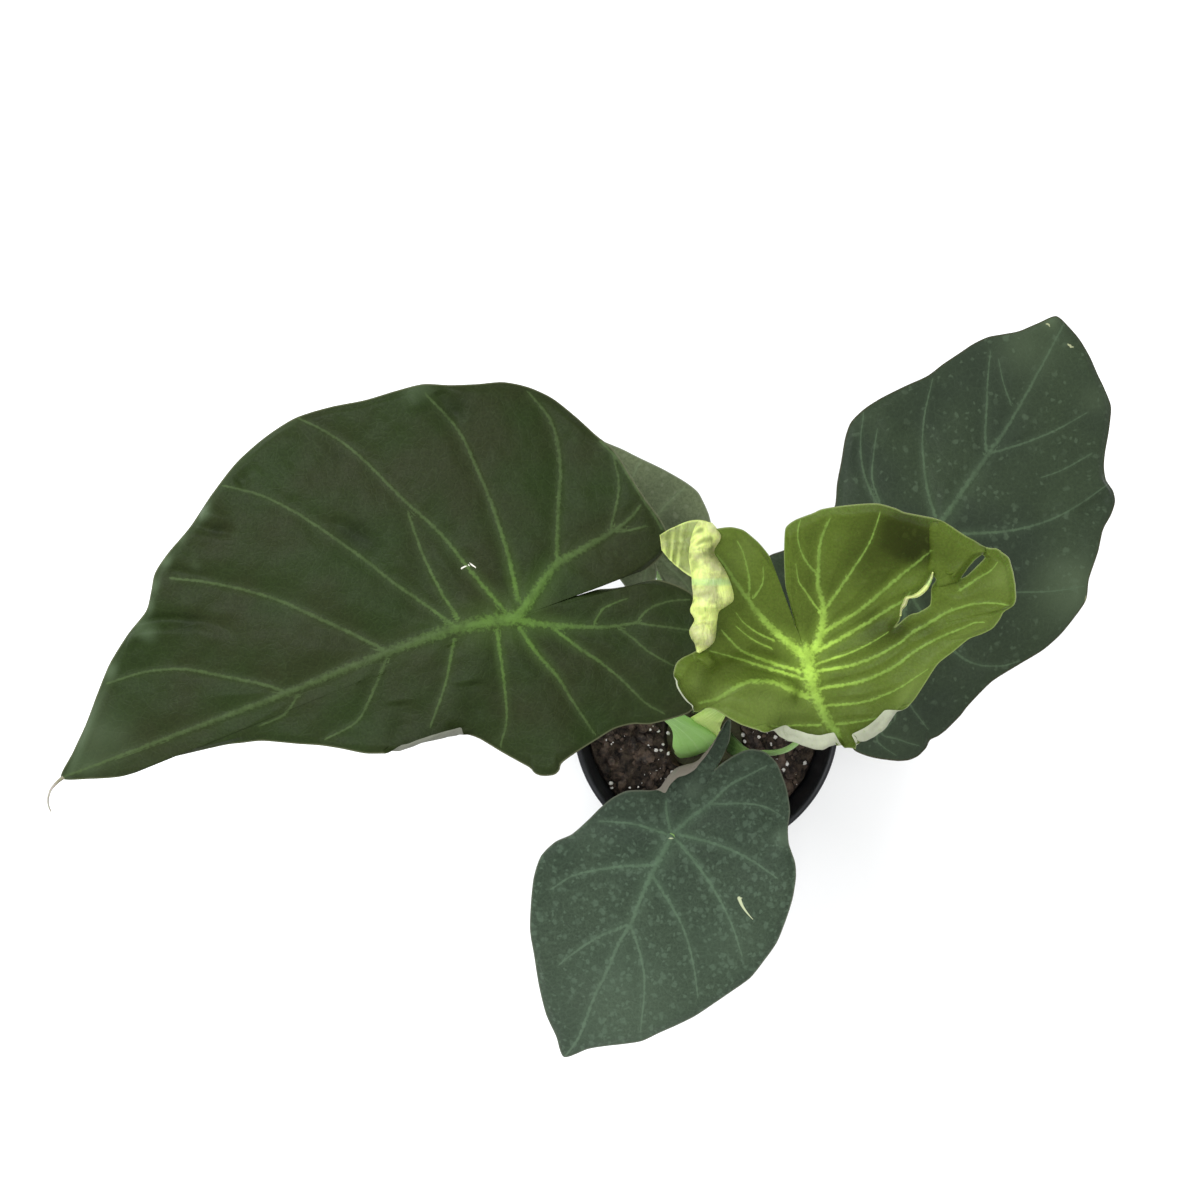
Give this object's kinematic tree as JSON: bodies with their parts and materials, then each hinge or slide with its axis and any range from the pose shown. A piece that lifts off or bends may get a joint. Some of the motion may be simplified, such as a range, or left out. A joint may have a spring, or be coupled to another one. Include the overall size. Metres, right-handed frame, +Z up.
{
  "type": "potted regal shields alocasia",
  "caption": "Potted aroid house plant with shield-shaped leaves on long petioles, in the potting mix of a round nursery pot.",
  "frame": {"origin": "centre of the pot's underside, on the surface that the pot stands on", "axes": "+Z up, +X towards the leaf on the right of the picture, -Y towards the front leaf"},
  "size_m": [0.5731, 0.4488, 0.4214],
  "materials": {
    "pot_plastic": "satin black nursery plastic",
    "potting_mix": "moist bark and peat mix with white perlite grains",
    "crown_skin": "pale green crown with dry brown scales",
    "mature_leaf": "dark green leathery blade with lighter green veins",
    "grey_leaf": "grey-green leathery blade with pale veins and specks",
    "young_leaf": "fresh lime green blade with bright veins and a pale rolled margin"
  },
  "bodies": {
    "root": {"pot": "pot_plastic", "soil": "potting_mix", "crown": "crown_skin", "leaf_large": "mature_leaf", "leaf_rear": "grey_leaf", "leaf_right": "grey_leaf", "leaf_front": "grey_leaf", "leaf_young": "young_leaf"}
  },
  "joints": []
}
